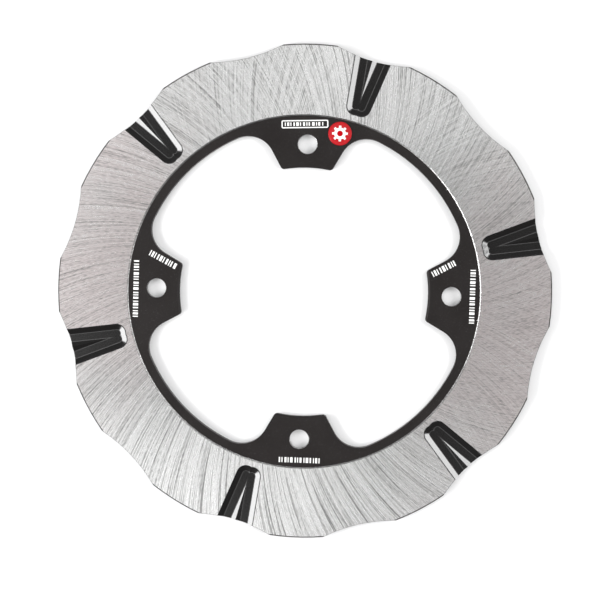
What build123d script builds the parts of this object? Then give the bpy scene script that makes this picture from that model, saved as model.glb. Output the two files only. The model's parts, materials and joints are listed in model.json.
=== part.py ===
from build123d import *
import os
from math import cos, hypot, radians, sin, sqrt, tan

# Fixed wave brake disc, lying flat: +Z is the disc axis, the origin is at the centre of the
# back friction face, and the badge side faces +Z.  Millimetres and degrees.

# ---- plate ----
THICKNESS = 4.8              # over the two ground friction faces
CREST_RADIUS = 124.0         # outside radius, on the twelve wave crests
VALLEY_RADIUS = 120.24       # at the bottom of each wave
WAVE_COUNT = 12
CREST_HALF_ANGLE = 6.15      # each crest keeps this much of the outside circle either side
CREST_CHAMFER = 0.4          # over the coating
BAND_RADIUS = 88.3           # where the black carrier coating ends
BAND_BEVEL = 0.78            # width of the turned bevel up to the friction face
CARRIER_RELIEF = 0.52        # steel carrier face below the friction face
OVERSHOOT = 1.0              # cutting shapes run this far past the faces that they cut

# ---- centre opening and lugs ----
LUG_ANGLES = (0, 90, 180, 270)
WINDOW_RADIUS = 84.1
HUB_RADIUS = 62.6            # steel register arcs on the four lug tips
HUB_CHAMFER = 0.9
LUG_TIP_HALF_WIDTH = 12.4    # at the hub radius, before the tip is rounded
LUG_FLARE = 29.4             # side of a lug, off the lug's centre line
LUG_TIP_FILLET = 1.8
LUG_ROOT_FILLET = 13.8
LUG_INNER_EXCESS = 8         # a lug strip starts this far inside its tip, then is trimmed
LUG_OUTER_EXCESS = 12        # and ends this far beyond the window circle, inside the plate
BOLT_CIRCLE_RADIUS = 74.1
BOLT_HOLE_RADIUS = 4.8
BOLT_HOLE_CHAMFER = 0.2

# ---- cleaning pockets: two round-nosed grooves that part like a V ----
POCKET_ANGLES = (15, 75, 135, 195, 255, 315)
POCKET_DEPTH = 1.5
POCKET_START_RADIUS = 96.6   # centres of the two round noses
NOSE_SPACING = 2.95          # between the two nose centres
GROOVE_SPLAY = 7.1           # each groove, off the pocket's centre line
GROOVE_LENGTH = 34.0         # runs out past the rim
GROOVE_HALF_WIDTH = 4.87
LIP_WIDTH = 0.42             # steep lip at the face
LIP_DEPTH = 0.4
FLOOR_HALF_WIDTH = 1.9
FLOOR_FILLET = 1.2
LIP_FILLET = 0.25

# ---- coating, badge and prints ----
COAT = 0.12                  # baked black coating, outside the steel sizes of the rim
LINING_DROP = 0.02           # ground edge of a pocket lining, below the friction face
COAT_FACE = THICKNESS - CARRIER_RELIEF + COAT
BADGE_CENTRE = (16.05, 79.7)
BADGE_RADIUS = 5.9
BADGE_RIM = 0.55             # straight side of the badge, above the coating
BADGE_RISE = 0.8             # crown above its rim
BADGE_EDGE_FILLET = 0.3
EMBLEM_RADIUS = 2.9          # root circle of the cog wheel on the badge
EMBLEM_BORE = 1.45
COG_TEETH = 8
COG_TOOTH_WIDTH = 1.15
COG_TOOTH_REACH = 3.9        # radius at the tooth tips
EMBLEM_SINK = 0.15
EMBLEM_PROUD = 0.03
PRINT = 0.05                 # thickness of the white prints
LABEL_CENTRE = (-1.6, 84.05)
LABEL_SIZE = (23.4, 4.0)
LABEL_TURN = 2.2
LABEL_STROKE = 0.55
LABEL_CORNER = 0.8
BAR_WIDTHS = (0.5, 1.0, 0.5, 0.7, 1.3)
BAR_GAPS = (0.7, 0.6, 1.0)

# Rows of plain bars printed on the lugs: name, centre x, centre y, turn, length, height.
BAR_ROWS = (
    ("left_upper", -71.0, 14.3, -27, 15.2, 2.9),
    ("left_side", -84.5, -0.6, 90, 28.6, 2.6),
    ("right_upper", 70.2, 14.1, 29, 13.6, 2.9),
    ("right_side", 84.5, -0.4, -90, 28.2, 2.6),
    ("bottom", 0.3, -84.7, 180, 20.6, 2.6),
)


def polar(radius, angle):
    return (radius * cos(radians(angle)), radius * sin(radians(angle)))


def wave_outline():
    """Crest arcs on the outside circle joined by shallow concave arcs."""
    pitch = 360 / WAVE_COUNT
    edges = []
    for index in range(WAVE_COUNT):
        crest = index * pitch
        start = polar(CREST_RADIUS, crest - CREST_HALF_ANGLE)
        end = polar(CREST_RADIUS, crest + CREST_HALF_ANGLE)
        following = polar(CREST_RADIUS, crest + pitch - CREST_HALF_ANGLE)
        edges.append(ThreePointArc(start, polar(CREST_RADIUS, crest), end))
        edges.append(ThreePointArc(end, polar(VALLEY_RADIUS, crest + pitch / 2), following))
    return make_face(Wire(edges))


def lug(angle):
    """One lug as a flared strip that runs from inside the hub circle to past the window."""
    tip_y = sqrt(HUB_RADIUS**2 - LUG_TIP_HALF_WIDTH**2)
    inner_y = tip_y - LUG_INNER_EXCESS
    outer_y = WINDOW_RADIUS + LUG_OUTER_EXCESS
    inner = LUG_TIP_HALF_WIDTH + (inner_y - tip_y) * tan(radians(LUG_FLARE))
    outer = LUG_TIP_HALF_WIDTH + (outer_y - tip_y) * tan(radians(LUG_FLARE))
    strip = Polygon(
        (-inner, inner_y), (inner, inner_y), (outer, outer_y), (-outer, outer_y), align=None
    )
    return Rot(0, 0, angle - 90) * (strip - Circle(HUB_RADIUS))


def centre_opening(inset=0.0):
    """The one opening between the four lugs; inset makes it smaller all round."""
    opening = Circle(WINDOW_RADIUS)
    for angle in LUG_ANGLES:
        opening -= lug(angle)
    near_hub = HUB_RADIUS + LUG_TIP_FILLET
    tips = opening.vertices().filter_by(lambda v: hypot(v.X, v.Y) < near_hub)
    opening = fillet(tips, LUG_TIP_FILLET)
    on_window = WINDOW_RADIUS - 0.1
    roots = opening.vertices().filter_by(lambda v: hypot(v.X, v.Y) > on_window)
    opening = fillet(roots, LUG_ROOT_FILLET)
    if inset:
        opening = offset(opening, amount=-inset, kind=Kind.INTERSECTION)
    return opening


def both_faces(solid):
    """A shape and its mirror image in the plate's middle plane."""
    middle = Plane.XY.offset(THICKNESS / 2)
    return [solid, mirror(solid, about=middle)]


def turned(*points):
    """A solid of revolution about the disc axis from (radius, height) points."""
    profile = make_face(Polyline(*[(r, 0, z) for r, z in points], close=True))
    return revolve(profile, Axis.Z, 360)


def groove_half_outline(inset):
    """Corner points of half a groove section, each edge moved inward by inset."""
    wall_x = GROOVE_HALF_WIDTH - LIP_WIDTH - FLOOR_HALF_WIDTH
    wall_y = POCKET_DEPTH - LIP_DEPTH
    wall_shift = inset * hypot(wall_x, wall_y) / wall_y
    lip_shift = inset * hypot(LIP_WIDTH, LIP_DEPTH) / LIP_DEPTH
    wall_slope = wall_x / wall_y
    lip_slope = LIP_WIDTH / LIP_DEPTH
    floor_x = FLOOR_HALF_WIDTH + wall_slope * inset - wall_shift
    corner_rise = (lip_shift - wall_shift) / (lip_slope - wall_slope)
    corner_x = GROOVE_HALF_WIDTH - LIP_WIDTH - wall_shift + wall_slope * corner_rise
    top_x = GROOVE_HALF_WIDTH + LIP_WIDTH - lip_shift
    return [(floor_x, inset - POCKET_DEPTH), (corner_x, corner_rise - LIP_DEPTH), (top_x, LIP_DEPTH)]


def groove_profile(inset=0.0):
    """Full cross-section of one groove, x across it and y up from the friction face."""
    half = groove_half_outline(inset)
    other = [(-x, y) for x, y in reversed(half)]
    section = make_face(Polyline(*half, *other, close=True))
    floor_y, lip_y, _ = [y for _, y in half]
    floor = section.vertices().filter_by(lambda v: abs(v.Y - floor_y) < 0.01)
    section = fillet(floor, FLOOR_FILLET - inset)
    lips = section.vertices().filter_by(lambda v: abs(v.Y - lip_y) < 0.01)
    return fillet(lips, LIP_FILLET + inset)


def groove(side, inset=0.0):
    """One round-nosed groove of the pocket on +X; side is +1 or -1."""
    section = groove_profile(inset)
    half_plane = 4 * GROOVE_HALF_WIDTH
    right_half = section & (Pos(half_plane / 2, 0) * Rectangle(half_plane, half_plane))
    nose = revolve(Plane.XZ * right_half, Axis.Z, 360)
    run = extrude(Plane.YZ * section, GROOVE_LENGTH)
    place = Pos(POCKET_START_RADIUS, side * NOSE_SPACING / 2, THICKNESS)
    return place * Rot(0, 0, side * GROOVE_SPLAY) * (nose + run)


def pocket(angle, inset=0.0):
    """Both grooves of one pocket in the front face."""
    return Rot(0, 0, angle) * (groove(1, inset) + groove(-1, inset))


def bolt_hole(radius, edge):
    """A drilled hole through the plate with its steel edges broken by a small chamfer."""
    carrier_face = THICKNESS - CARRIER_RELIEF
    wide = radius + edge + OVERSHOOT
    return turned(
        (0, -OVERSHOOT),
        (wide, -OVERSHOOT),
        (wide, CARRIER_RELIEF - OVERSHOOT),
        (radius, CARRIER_RELIEF + edge),
        (radius, carrier_face - edge),
        (wide, carrier_face + OVERSHOOT),
        (wide, THICKNESS + OVERSHOOT),
        (0, THICKNESS + OVERSHOOT),
    )


def waved_blank(inset=0.0):
    """A round blank with chamfered edges, cut to the wave; inset moves every edge inward."""
    outline = wave_outline()
    if inset:
        outline = offset(outline, amount=-inset, kind=Kind.INTERSECTION)
    rim = CREST_RADIUS - inset
    chamfer = CREST_CHAMFER + inset * tan(radians(45 / 2))
    blank = turned(
        (0, 0),
        (rim - chamfer, 0),
        (rim, chamfer),
        (rim, THICKNESS - chamfer),
        (rim - chamfer, THICKNESS),
        (0, THICKNESS),
    )
    return blank & extrude(outline, THICKNESS)


def register_chamfer(film=0.0):
    """Cutter for the chamfer round the lug tips, for the steel or for the film over it."""
    face = THICKNESS - CARRIER_RELIEF + film
    start = HUB_RADIUS - film - OVERSHOOT
    outer = HUB_RADIUS + HUB_CHAMFER - film * tan(radians(45 / 2))
    return turned(
        (start, face - (outer - start)),
        (outer + OVERSHOOT, face + OVERSHOOT),
        (start, face + OVERSHOOT),
    )


def disc_plate():
    """The steel plate: wave rim, friction band, relieved carrier, lugs, holes and pockets."""
    plate = waved_blank(COAT) - extrude(centre_opening(), THICKNESS)
    carrier_face = THICKNESS - CARRIER_RELIEF
    relief_radius = BAND_RADIUS - COAT * BAND_BEVEL / CARRIER_RELIEF
    relief = turned(
        (HUB_RADIUS - OVERSHOOT, carrier_face),
        (relief_radius, carrier_face),
        (relief_radius + BAND_BEVEL, THICKNESS),
        (relief_radius + BAND_BEVEL, THICKNESS + OVERSHOOT),
        (HUB_RADIUS - OVERSHOOT, THICKNESS + OVERSHOOT),
    )
    for cutter in both_faces(relief) + both_faces(register_chamfer()):
        plate -= cutter
    hole = bolt_hole(BOLT_HOLE_RADIUS, BOLT_HOLE_CHAMFER)
    for angle in LUG_ANGLES:
        plate -= Pos(*polar(BOLT_CIRCLE_RADIUS, angle)) * hole
    for angle in POCKET_ANGLES:
        for cutter in both_faces(pocket(angle)):
            plate -= cutter
    return plate


def carrier_coating(plate):
    """The film over the carrier's two faces, the window walls and the register."""
    skin = CARRIER_RELIEF - COAT
    reach = Circle(BAND_RADIUS + BAND_BEVEL)
    envelope = extrude(reach - centre_opening(COAT), THICKNESS - 2 * skin)
    envelope = Pos(0, 0, skin) * envelope
    for cutter in both_faces(register_chamfer(COAT)):
        envelope -= cutter
    hole = bolt_hole(BOLT_HOLE_RADIUS + BOLT_HOLE_CHAMFER, 0)
    for angle in LUG_ANGLES:
        envelope -= Pos(*polar(BOLT_CIRCLE_RADIUS, angle)) * hole
    return envelope - plate


def rim_coating():
    """The film on the outer edge and its chamfers, ground off flush with the faces."""
    film = waved_blank() - waved_blank(COAT)
    between_faces = Cylinder(CREST_RADIUS + OVERSHOOT, THICKNESS - 2 * LINING_DROP)
    film &= Pos(0, 0, THICKNESS / 2) * between_faces
    for angle in POCKET_ANGLES:
        for cutter in both_faces(pocket(angle)):
            film -= cutter
    return film


def pocket_lining(angle):
    """The film left in one front pocket after the face was ground."""
    within_rim = extrude(wave_outline(), THICKNESS - LINING_DROP)
    return (pocket(angle) & within_rim) - pocket(angle, COAT)


def badge():
    """The domed badge button and the cog wheel let into its crown."""
    rim = COAT_FACE + BADGE_RIM
    sphere_radius = (BADGE_RADIUS**2 + BADGE_RISE**2) / (2 * BADGE_RISE)
    place = Pos(*BADGE_CENTRE, 0)

    def dome(lift):
        height = BADGE_RIM + BADGE_RISE + OVERSHOOT
        column = Pos(0, 0, COAT_FACE + height / 2) * Cylinder(BADGE_RADIUS, height)
        ball = Pos(0, 0, rim + BADGE_RISE - sphere_radius + lift) * Sphere(sphere_radius)
        return column & ball

    button = dome(0)
    top_edge = button.edges().filter_by(lambda e: abs(e.center().Z - rim) < 0.01)
    button = fillet(top_edge, BADGE_EDGE_FILLET)
    cog = extrude(cog_outline(), THICKNESS * 2)
    cog &= dome(EMBLEM_PROUD) - dome(-EMBLEM_SINK)
    return place * (button - cog), place * cog


def cog_outline():
    """A plain cog wheel with square teeth and a round bore."""
    wheel = Circle(EMBLEM_RADIUS)
    for index in range(COG_TEETH):
        tooth = Pos(COG_TOOTH_REACH / 2, 0) * Rectangle(COG_TOOTH_REACH, COG_TOOTH_WIDTH)
        wheel += Rot(0, 0, index * 360 / COG_TEETH) * tooth
    return wheel - Circle(EMBLEM_BORE)


def print_solid(outline, x, y, turn):
    """A flat print on the front coating."""
    return extrude(Pos(x, y, COAT_FACE) * Rot(0, 0, turn) * outline, PRINT)


def bar_row(length, height):
    """A row of plain upright bars of uneven width."""
    bars = []
    x = -length / 2
    index = 0
    while x + BAR_WIDTHS[index % len(BAR_WIDTHS)] <= length / 2:
        width = BAR_WIDTHS[index % len(BAR_WIDTHS)]
        bars.append(Pos(x + width / 2, 0) * Rectangle(width, height))
        x += width + BAR_GAPS[index % len(BAR_GAPS)]
        index += 1
    return Sketch() + bars


def label_outline():
    """A plain rounded frame with a row of bars inside it."""
    width, height = LABEL_SIZE
    frame = RectangleRounded(width, height, LABEL_CORNER)
    hole = (width - 2 * LABEL_STROKE, height - 2 * LABEL_STROKE)
    frame -= RectangleRounded(*hole, LABEL_CORNER / 2)
    return frame + bar_row(width - 6 * LABEL_STROKE, height - 4 * LABEL_STROKE)


def save(name, shape):
    export_step(shape, f"parts/{name}.step")


os.makedirs("parts", exist_ok=True)
plate = disc_plate()
save("disc_plate", plate)
save("carrier_coating", carrier_coating(plate))
save("rim_coating", rim_coating())
for number, pocket_angle in enumerate(POCKET_ANGLES, start=1):
    front, back = both_faces(pocket_lining(pocket_angle))
    save(f"pocket_lining_front_{number}", front)
    save(f"pocket_lining_back_{number}", back)
button, emblem = badge()
save("badge_button", button)
save("badge_emblem", emblem)
save("print_label", print_solid(label_outline(), *LABEL_CENTRE, LABEL_TURN))
for name, x, y, turn, length, height in BAR_ROWS:
    save(f"print_bars_{name}", print_solid(bar_row(length, height), x, y, turn))
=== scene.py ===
import json
from math import cos, e, radians, sin

import bpy
from mathutils import Matrix, Vector


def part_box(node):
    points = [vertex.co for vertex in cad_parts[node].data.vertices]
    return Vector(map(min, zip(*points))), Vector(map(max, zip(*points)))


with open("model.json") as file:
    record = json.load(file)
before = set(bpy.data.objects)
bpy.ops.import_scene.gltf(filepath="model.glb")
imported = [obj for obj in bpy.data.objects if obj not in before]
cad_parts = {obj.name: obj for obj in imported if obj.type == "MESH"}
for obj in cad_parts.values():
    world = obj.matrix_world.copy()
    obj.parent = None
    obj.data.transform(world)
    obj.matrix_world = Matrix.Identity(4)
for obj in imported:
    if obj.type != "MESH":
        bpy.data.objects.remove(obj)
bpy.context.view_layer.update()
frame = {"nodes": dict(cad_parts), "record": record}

# A brake disc lying flat.  Metres; +Z is the disc axis and the badge side faces up.
nodes = frame["nodes"]
FACE_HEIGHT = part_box("disc_plate")[1].z
BAND_EDGE = 0.0891           # the ground band starts here, outside the turned bevel
BAND_EDGE_BLEND = 0.0001     # width over which the rings give way to the grinding lines
MIDDLE_RADIUS = 0.105        # middle of the ground band

# ---- camera: nearly straight above, leaning a little to the upper right ----
CAMERA_DISTANCE = 0.7314
CAMERA_LEAN = radians(3.454)
CAMERA_LEAN_TOWARDS = radians(41.69)
CAMERA_ROLL = radians(-1.686)
CAMERA_LENS = 87.516
SENSOR_WIDTH = 36.0
AIM_OFFSET = (0.00165, 0.00386)   # how far the disc centre sits right of and above the middle


def add_camera():
    across = (cos(CAMERA_LEAN_TOWARDS), sin(CAMERA_LEAN_TOWARDS))
    roll = Matrix.Rotation(CAMERA_ROLL, 3, "Z")
    lean_axis = Vector((-across[1], across[0], 0))
    lean = Matrix.Rotation(-CAMERA_LEAN, 3, lean_axis)
    axes = (lean @ roll).transposed()
    right, up, back = axes.col
    centre = Vector((0, 0, FACE_HEIGHT))
    place = centre + CAMERA_DISTANCE * back - AIM_OFFSET[0] * right - AIM_OFFSET[1] * up
    data = bpy.data.cameras.new("camera")
    data.lens = CAMERA_LENS
    data.sensor_width = SENSOR_WIDTH
    data.clip_start = 0.01
    camera = bpy.data.objects.new("camera", data)
    camera.matrix_world = Matrix.Translation(place) @ axes.to_4x4()
    bpy.context.scene.collection.objects.link(camera)
    bpy.context.scene.camera = camera


# ---- node building ----
class Graph:
    """Builds and links the shader nodes of one material or of the world."""

    def __init__(self, tree):
        self.tree = tree
        tree.nodes.clear()

    def put(self, socket, value):
        if isinstance(value, bpy.types.NodeSocket):
            self.tree.links.new(value, socket)
        else:
            socket.default_value = value

    def node(self, kind, inputs=(), **settings):
        made = self.tree.nodes.new(kind)
        for name, value in settings.items():
            setattr(made, name, value)
        for name, value in dict(inputs).items():
            self.put(made.inputs[name], value)
        return made

    def math(self, operation, *values, clamp=False):
        made = self.node("ShaderNodeMath", operation=operation, use_clamp=clamp)
        for index, value in enumerate(values):
            self.put(made.inputs[index], value)
        return made.outputs[0]

    def vector_math(self, operation, *values):
        made = self.node("ShaderNodeVectorMath", operation=operation)
        for index, value in enumerate(values):
            self.put(made.inputs[index], value)
        return made.outputs[0]

    def dot(self, vector, fixed):
        made = self.node("ShaderNodeVectorMath", operation="DOT_PRODUCT")
        self.put(made.inputs[0], vector)
        self.put(made.inputs[1], fixed)
        return made.outputs["Value"]

    def scaled(self, vector, factor):
        made = self.node("ShaderNodeVectorMath", operation="SCALE")
        self.put(made.inputs[0], vector)
        self.put(made.inputs["Scale"], factor)
        return made.outputs[0]

    def noise(self, vector, scale, detail=3.0, roughness=0.5, distortion=0.0):
        inputs = {
            "Vector": vector,
            "Scale": scale,
            "Detail": detail,
            "Roughness": roughness,
            "Distortion": distortion,
        }
        return self.node("ShaderNodeTexNoise", inputs).outputs["Fac"]

    def remap(self, value, low, high, new_low=0.0, new_high=1.0, smooth=False):
        kind = "SMOOTHSTEP" if smooth else "LINEAR"
        inputs = {
            "Value": value,
            "From Min": low,
            "From Max": high,
            "To Min": new_low,
            "To Max": new_high,
        }
        made = self.node("ShaderNodeMapRange", inputs, interpolation_type=kind, clamp=True)
        return made.outputs[0]

    def mix_color(self, factor, first, second):
        made = self.node("ShaderNodeMix", data_type="RGBA")
        self.put(made.inputs["Factor"], factor)
        self.put(made.inputs[6], first)
        self.put(made.inputs[7], second)
        return made.outputs[2]

    def bump(self, height, strength, distance):
        inputs = {"Height": height, "Strength": strength, "Distance": distance}
        return self.node("ShaderNodeBump", inputs).outputs[0]


def new_material(name, **constants):
    """A Principled material; returns it, its graph and the shader node."""
    material = bpy.data.materials.new(name)
    material.use_nodes = True
    graph = Graph(material.node_tree)
    shader = graph.node("ShaderNodeBsdfPrincipled", constants)
    graph.node("ShaderNodeOutputMaterial", {"Surface": shader.outputs[0]})
    return material, graph, shader


def object_position(graph):
    return graph.node("ShaderNodeTexCoord").outputs["Object"]


# ---- ground steel ----
STEEL = (0.70, 0.70, 0.695, 1)
STEEL_PINK = (0.77, 0.70, 0.695, 1)
# The turned bevel's steel colour is painted near black: painted shade that dims its reflection
# of the lamps.
TURNED_STEEL_PAINTED_DARK = (0.10, 0.097, 0.095, 1)
STEEL_DARK = (0.20, 0.20, 0.198, 1)
STEEL_LIGHT = (1.0, 1.0, 1.0, 1)
# Slope of the grinding lines off the radius, in the middle of the band and its growth outward.
MAIN_SLOPE = (0.35, 0.35)
CROSSING_SLOPE = (-0.32, -0.3)
# Lines of one family: width and length in metres, seed, weight.
MAIN_LINES = (
    (0.00024, 0.035, 3.1, 1.0),
    (0.00050, 0.060, 17.7, 1.0),
    (0.0016, 0.070, 29.2, 0.35),
)
CROSSING_LINES = (
    (0.00024, 0.030, 41.9, 1.0),
    (0.00055, 0.050, 53.4, 1.0),
)
# Where the crossing lines show: azimuths in degrees and how strongly.
CROSSING_PATCHES = ((-17, 1.0), (43, 0.6), (107, 0.7))
PATCH_SHARPNESS = 14.0
CROSSING_EVERYWHERE = 0.12   # and how strongly they show outside the patches
CROSSING_SHARE = 0.6         # their share of the pattern where they are strongest
PAINTED_SHEEN_AZIMUTH = 82            # painted highlight: the marks' colour contrast, with their bump and roughness, is fullest here and opposite
PAINTED_SHEEN_LOW = 0.42         # its share a quarter turn from there
PAINTED_SHEEN_FULL_FROM = 0.7        # squared cosine from which it is full
LINE_OCTAVES = 1.5
LINE_ROUGHNESS = 0.5
GRAIN_LINES = ((0.00040, 0.0020, 71.3, 1.0),)
GRAIN_SHARE = 0.2
RING_SCALE = 9000.0          # turned rings on the bevel
# Relief at which a mark is darkest and lightest, and how much of that colour it takes; this
# relief carries the painted highlight, so the marks' light and dark colour is partly painted
# light.
DARKEST = (-0.10, 0.95)
LIGHTEST = (0.11, 0.9)
SMOOTHNESS_REACH = 0.12      # relief at which the roughness is lowest, and opposite highest
STEEL_ROUGHNESS = (0.33, 0.25)
MARK_STRENGTH = 0.6
MARK_DEPTH = 0.00012


def unit_vector(azimuth):
    return Vector((cos(radians(azimuth)), sin(radians(azimuth)), 0))


def line_turn(graph, radius, slope):
    """How far a grinding line has turned about the axis at this radius, and its lean there."""
    ratio = graph.math("DIVIDE", radius, MIDDLE_RADIUS)
    excess = graph.math("SUBTRACT", ratio, 1.0)
    growth = graph.math("LOGARITHM", ratio, e)
    bent = graph.math("MULTIPLY", graph.math("SUBTRACT", excess, growth), slope[1])
    turn = graph.math("MULTIPLY_ADD", growth, slope[0], bent)
    local_slope = graph.math("MULTIPLY_ADD", excess, slope[1], slope[0])
    return turn, graph.math("ARCTANGENT", local_slope)


def grinding_lines(graph, position, radius, turn, families):
    """Noise drawn out along curved lines that cross the radius; mean one half."""
    inputs = {"Vector": position, "Angle": graph.math("MULTIPLY", turn, -1.0)}
    turned = graph.node("ShaderNodeVectorRotate", inputs, rotation_type="Z_AXIS").outputs[0]
    weights = sum(weight for _, _, _, weight in families)
    total = 0.0
    for width, length, seed, weight in families:
        around = graph.scaled(turned, graph.math("DIVIDE", MIDDLE_RADIUS / width, radius))
        parts = graph.node("ShaderNodeSeparateXYZ", {"Vector": around})
        along = graph.math("ADD", graph.math("DIVIDE", radius, length), seed)
        stretched = graph.node(
            "ShaderNodeCombineXYZ", {"X": parts.outputs[0], "Y": parts.outputs[1], "Z": along}
        )
        lines = graph.noise(stretched.outputs[0], 1.0, LINE_OCTAVES, LINE_ROUGHNESS)
        total = graph.math("MULTIPLY_ADD", lines, weight / weights, total)
    return total


def crossing_amount(graph, outward):
    """Smooth patches round the disc where the second family of lines shows."""
    total = 0.0
    for azimuth, strength in CROSSING_PATCHES:
        near = graph.math("MAXIMUM", graph.dot(outward, unit_vector(azimuth)), 0.0)
        patch = graph.math("POWER", near, PATCH_SHARPNESS)
        total = graph.math("MULTIPLY_ADD", patch, strength, total)
    return graph.math("ADD", total, CROSSING_EVERYWHERE, clamp=True)


def ground_steel():
    constants = {"Metallic": 1.0, "Anisotropic": 0.8}
    material, graph, shader = new_material("ground_steel", **constants)
    position = object_position(graph)
    parts = graph.node("ShaderNodeSeparateXYZ", {"Vector": position})
    flat = graph.node(
        "ShaderNodeCombineXYZ", {"X": parts.outputs[0], "Y": parts.outputs[1]}
    ).outputs[0]
    length = graph.node("ShaderNodeVectorMath", {"Vector": flat}, operation="LENGTH")
    radius = length.outputs["Value"]
    outward = graph.vector_math("NORMALIZE", flat)

    turn, lean = line_turn(graph, radius, MAIN_SLOPE)
    main = grinding_lines(graph, position, radius, turn, MAIN_LINES)
    cross_turn = line_turn(graph, radius, CROSSING_SLOPE)[0]
    crossing = grinding_lines(graph, position, radius, cross_turn, CROSSING_LINES)
    share = graph.math("MULTIPLY", crossing_amount(graph, outward), CROSSING_SHARE)
    lines = graph.node("ShaderNodeMix", {"Factor": share, "A": main, "B": crossing}).outputs[0]
    grain = grinding_lines(graph, position, radius, turn, GRAIN_LINES)
    grain_relief = graph.math("MULTIPLY", graph.math("SUBTRACT", grain, 0.5), GRAIN_SHARE)

    # Painted highlight: the marks' light and dark colour, and with it their bump and roughness,
    # is scaled by direction round the disc, fullest along one axis, so those two sides read as
    # lit.
    sheen_axis_facing = graph.dot(outward, unit_vector(PAINTED_SHEEN_AZIMUTH))
    sheen_axis_squared = graph.math("POWER", graph.math("ABSOLUTE", sheen_axis_facing), 2.0)
    depth_and_sheen = graph.remap(sheen_axis_squared, 0.0, PAINTED_SHEEN_FULL_FROM, PAINTED_SHEEN_LOW, 1.0, smooth=True)

    # The turned bevel inside the band has rings instead of grinding lines.
    on_band = graph.remap(radius, BAND_EDGE - BAND_EDGE_BLEND, BAND_EDGE)
    ring_place = graph.node("ShaderNodeCombineXYZ", {"X": radius, "Y": parts.outputs[2]})
    rings = graph.noise(ring_place.outputs[0], RING_SCALE, 2.0, 0.5)
    pattern = graph.node("ShaderNodeMix", {"Factor": on_band, "A": rings, "B": lines}).outputs[0]
    centred = graph.math("SUBTRACT", pattern, 0.5)
    relief_and_sheen = graph.math("MULTIPLY_ADD", centred, depth_and_sheen, grain_relief)

    # Where the painted highlight is weakest, at the sides a quarter turn from its axis, the
    # steel takes a warmer, pinker tint, in soft patches.
    patches = graph.noise(position, 24.0, 2.0, 0.5)
    cast = graph.math("MULTIPLY_ADD", patches, 0.8, graph.math("SUBTRACT", 0.3, sheen_axis_squared))
    ground = graph.mix_color(graph.remap(cast, 0.0, 0.8, smooth=True), STEEL, STEEL_PINK)
    # Painted shade: the turned bevel takes the near-black steel colour.
    tint = graph.mix_color(on_band, TURNED_STEEL_PAINTED_DARK, ground)
    dark_share = graph.remap(relief_and_sheen, DARKEST[0], 0.0, DARKEST[1], 0.0)
    darker = graph.mix_color(dark_share, tint, STEEL_DARK)
    light_share = graph.remap(relief_and_sheen, 0.0, LIGHTEST[0], 0.0, LIGHTEST[1])
    color = graph.mix_color(light_share, darker, STEEL_LIGHT)
    graph.put(shader.inputs["Base Color"], color)
    rough = graph.remap(relief_and_sheen, -SMOOTHNESS_REACH, SMOOTHNESS_REACH, *STEEL_ROUGHNESS)
    graph.put(shader.inputs["Roughness"], rough)
    graph.put(shader.inputs["Normal"], graph.bump(relief_and_sheen, MARK_STRENGTH, MARK_DEPTH))

    around_axis = graph.node("ShaderNodeTangent", direction_type="RADIAL", axis="Z").outputs[0]
    inputs = {"Vector": around_axis, "Angle": lean}
    across = graph.node("ShaderNodeVectorRotate", inputs, rotation_type="Z_AXIS")
    graph.put(shader.inputs["Tangent"], across.outputs[0])
    return material


# ---- black coatings: each colour varies between two ----
COATING_COLORS = (0.0078, 0.0058, 0.0055, 1), (0.0110, 0.0084, 0.0080, 1)
COATING_DUST = (0.12, 0.12, 0.12, 1)
LINING_COLORS = (0.0015, 0.0014, 0.0014, 1), (0.010, 0.0092, 0.009, 1)


def black_coating():
    """Satin baked coating: faint orange peel and a little dust."""
    constants = {"IOR": 1.35}
    material, graph, shader = new_material("black_coating", **constants)
    position = object_position(graph)
    peel = graph.noise(position, 1400.0, 2.0, 0.5)
    cloud = graph.noise(position, 60.0, 3.0, 0.5)
    dust = graph.remap(graph.noise(position, 2600.0, 2.0, 0.6), 0.66, 0.72)
    base = graph.mix_color(cloud, *COATING_COLORS)
    color = graph.mix_color(graph.math("MULTIPLY", dust, 0.5), base, COATING_DUST)
    graph.put(shader.inputs["Base Color"], color)
    graph.put(shader.inputs["Roughness"], graph.remap(cloud, 0.3, 0.7, 0.34, 0.42))
    graph.put(shader.inputs["Normal"], graph.bump(peel, 0.25, 0.00004))
    return material


def gloss_lining():
    """The same coating left untouched in the pockets: glossy with a sandy grain."""
    constants = {"IOR": 1.1, "Coat Weight": 1.0, "Coat Roughness": 0.16, "Coat IOR": 1.8}
    material, graph, shader = new_material("gloss_lining", **constants)
    position = object_position(graph)
    grain = graph.noise(position, 2200.0, 3.0, 0.6)
    cloud = graph.noise(position, 160.0, 2.0, 0.5)
    color = graph.mix_color(grain, *LINING_COLORS)
    graph.put(shader.inputs["Base Color"], color)
    graph.put(shader.inputs["Roughness"], graph.remap(cloud, 0.3, 0.7, 0.22, 0.34))
    graph.put(shader.inputs["Normal"], graph.bump(grain, 0.3, 0.00005))
    graph.put(shader.inputs["Coat Normal"], graph.bump(grain, 0.3, 0.00005))
    return material


# ---- badge and prints ----
BADGE_COLORS = (0.34, 0.001, 0.004, 1), (0.48, 0.002, 0.008, 1)
WHITE_COLORS = (0.80, 0.80, 0.785, 1), (0.90, 0.90, 0.89, 1)
WHITE_WORN = (0.30, 0.30, 0.30, 1)


def red_badge():
    constants = {"IOR": 1.15, "Coat Weight": 0.5, "Coat Roughness": 0.03, "Coat IOR": 1.4}
    material, graph, shader = new_material("red_badge", **constants)
    position = object_position(graph)
    cloud = graph.noise(position, 300.0, 3.0, 0.6)
    color = graph.mix_color(cloud, *BADGE_COLORS)
    graph.put(shader.inputs["Base Color"], color)
    graph.put(shader.inputs["Roughness"], graph.remap(cloud, 0.3, 0.7, 0.25, 0.35))
    ripple = graph.noise(position, 500.0, 2.0, 0.5)
    graph.put(shader.inputs["Coat Normal"], graph.bump(ripple, 0.05, 0.00005))
    return material


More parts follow.
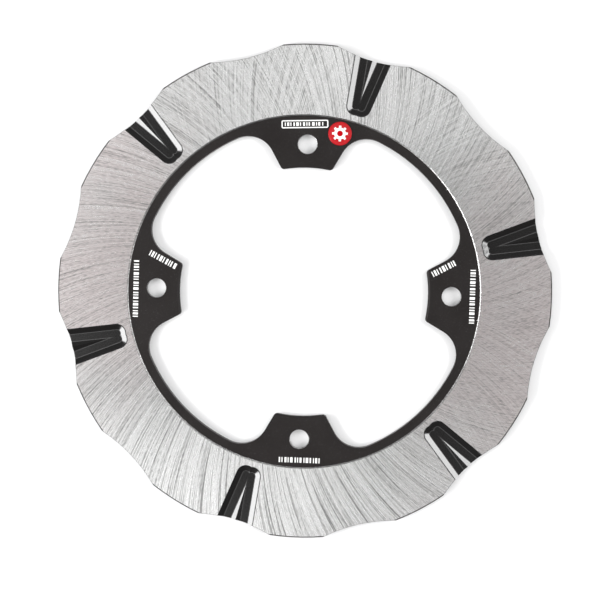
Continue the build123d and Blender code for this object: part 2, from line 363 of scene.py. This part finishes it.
def white_layer(name, roughness_low, roughness_high, thin):
    """White plastic or ink; thin spots let a little of what lies below show through."""
    material, graph, shader = new_material(name, IOR=1.5)
    position = object_position(graph)
    cloud = graph.noise(position, 500.0, 3.0, 0.6)
    wear = graph.remap(graph.noise(position, 1900.0, 3.0, 0.65), 0.58, 0.72, 0.0, thin)
    white = graph.mix_color(cloud, *WHITE_COLORS)
    color = graph.mix_color(wear, white, WHITE_WORN)
    graph.put(shader.inputs["Base Color"], color)
    rough = graph.remap(cloud, 0.3, 0.7, roughness_low, roughness_high)
    graph.put(shader.inputs["Roughness"], rough)
    graph.put(shader.inputs["Normal"], graph.bump(cloud, 0.1, 0.00003))
    return material


def assign_materials():
    made = {
        "ground_steel": ground_steel(),
        "black_coating": black_coating(),
        "gloss_lining": gloss_lining(),
        "red_badge": red_badge(),
        "badge_white": white_layer("badge_white", 0.22, 0.32, 0.0),
        "white_print": white_layer("white_print", 0.55, 0.7, 0.35),
    }
    for subpart in frame["record"]["subparts"]:
        for slot in nodes[subpart["node"]].material_slots:
            slot.material = made[subpart["material_slot"]]


# ---- floor ----
FLOOR_HALF = 4.0
FLOOR_DROP = 0.00005         # gap below the disc
FLOOR_GLOW = 0.08            # a faint light table under the disc
FLOOR_COLORS = (0.80, 0.80, 0.805, 1), (0.82, 0.82, 0.82, 1)


def add_floor():
    corners = [(-1, -1), (1, -1), (1, 1), (-1, 1)]
    points = [(x * FLOOR_HALF, y * FLOOR_HALF, -FLOOR_DROP) for x, y in corners]
    mesh = bpy.data.meshes.new("floor")
    mesh.from_pydata(points, [], [(0, 1, 2, 3)])
    floor = bpy.data.objects.new("floor", mesh)
    bpy.context.scene.collection.objects.link(floor)
    constants = {"IOR": 1.45, "Roughness": 0.8, "Emission Strength": FLOOR_GLOW}
    material, graph, shader = new_material("floor_light_table", **constants)
    graph.put(shader.inputs["Emission Color"], (1, 1, 1, 1))
    mottle = graph.noise(object_position(graph), 40.0, 4.0, 0.6)
    color = graph.mix_color(mottle, *FLOOR_COLORS)
    graph.put(shader.inputs["Base Color"], color)
    floor.data.materials.append(material)


# ---- light ----
# Softboxes: name, azimuth, elevation, distance, width, height, radiance.
SOFTBOXES = (
    ("softbox_left", 197, 36, 1.1, 0.90, 0.43, 8.5),
    ("softbox_right", 14, 44, 1.1, 0.92, 0.30, 7.0),
    ("low_strip_left", 190, 6, 1.1, 1.10, 0.22, 1.4),
    ("low_strip_right", 8, 6, 1.1, 1.10, 0.22, 1.2),
)
POWER_PER_RADIANCE = 4       # watts from a square metre of lamp, for a radiance of one
SKY_ZENITH = 0.1
SKY_RING = 1.95
SKY_LOW = 0.10
SKY_BAND = 0.6               # the low walls of the studio, which side views mirror
SKY_BRIGHT_SIDE = 115        # azimuth of the brighter side of the overhead ring
SKY_LOPSIDED = 0.4           # how much brighter that side is, and the other side darker
SKY_SHOWN = 0.9              # what the camera sees of it
# Heights, as sines of the elevation, over which the parts of the sky fade in or out.
BAND_FADES_IN = (0.12, 0.22)
BAND_FADES_OUT = (0.42, 0.56)
RING_FADES_IN = (0.78, 0.92)
ZENITH_FADES_IN = (0.93, 0.985)


def add_softbox(name, azimuth, elevation, distance, width, height, radiance):
    """A rectangular light that faces the disc; its power gives the wanted radiance."""
    flat = cos(radians(elevation))
    towards = Vector(
        (flat * cos(radians(azimuth)), flat * sin(radians(azimuth)), sin(radians(elevation)))
    )
    data = bpy.data.lights.new(name, "AREA")
    data.shape = "RECTANGLE"
    data.size = width
    data.size_y = height
    data.energy = radiance * width * height * POWER_PER_RADIANCE
    light = bpy.data.objects.new(name, data)
    turn = towards.to_track_quat("Z", "Y")
    light.matrix_world = Matrix.Translation(distance * towards) @ turn.to_matrix().to_4x4()
    light.visible_camera = False
    bpy.context.scene.collection.objects.link(light)


def add_sky():
    """A bright ring overhead, dimmer straight above, and a soft band near the horizon."""
    world = bpy.data.worlds.new("studio")
    bpy.context.scene.world = world
    world.use_nodes = True
    graph = Graph(world.node_tree)
    direction = graph.node("ShaderNodeTexCoord").outputs["Generated"]
    height = graph.node("ShaderNodeSeparateXYZ", {"Vector": direction}).outputs[2]
    rising = graph.remap(height, *RING_FADES_IN, SKY_LOW, SKY_RING, smooth=True)
    overhead = graph.remap(height, *ZENITH_FADES_IN, smooth=True)
    band_start = graph.remap(height, *BAND_FADES_IN, smooth=True)
    band_end = graph.remap(height, *BAND_FADES_OUT, SKY_BAND, 0.0, smooth=True)
    lower = graph.math("MULTIPLY_ADD", band_start, band_end, rising)
    level = graph.node("ShaderNodeMix", {"Factor": overhead, "A": lower, "B": SKY_ZENITH})
    side = graph.dot(direction, unit_vector(SKY_BRIGHT_SIDE))
    gain = graph.math("MULTIPLY_ADD", side, SKY_LOPSIDED, 1.0)
    leaning = graph.math("MULTIPLY", level.outputs[0], gain)
    is_camera = graph.node("ShaderNodeLightPath").outputs["Is Camera Ray"]
    shown = graph.node("ShaderNodeMix", {"Factor": is_camera, "A": leaning, "B": SKY_SHOWN})
    inputs = {"Color": (1, 1, 1, 1), "Strength": shown.outputs[0]}
    background = graph.node("ShaderNodeBackground", inputs)
    graph.node("ShaderNodeOutputWorld", {"Surface": background.outputs[0]})


add_camera()
assign_materials()
add_floor()
for softbox in SOFTBOXES:
    add_softbox(*softbox)
add_sky()
bpy.context.scene.view_settings.view_transform = "Standard"
bpy.context.scene.view_settings.look = "None"
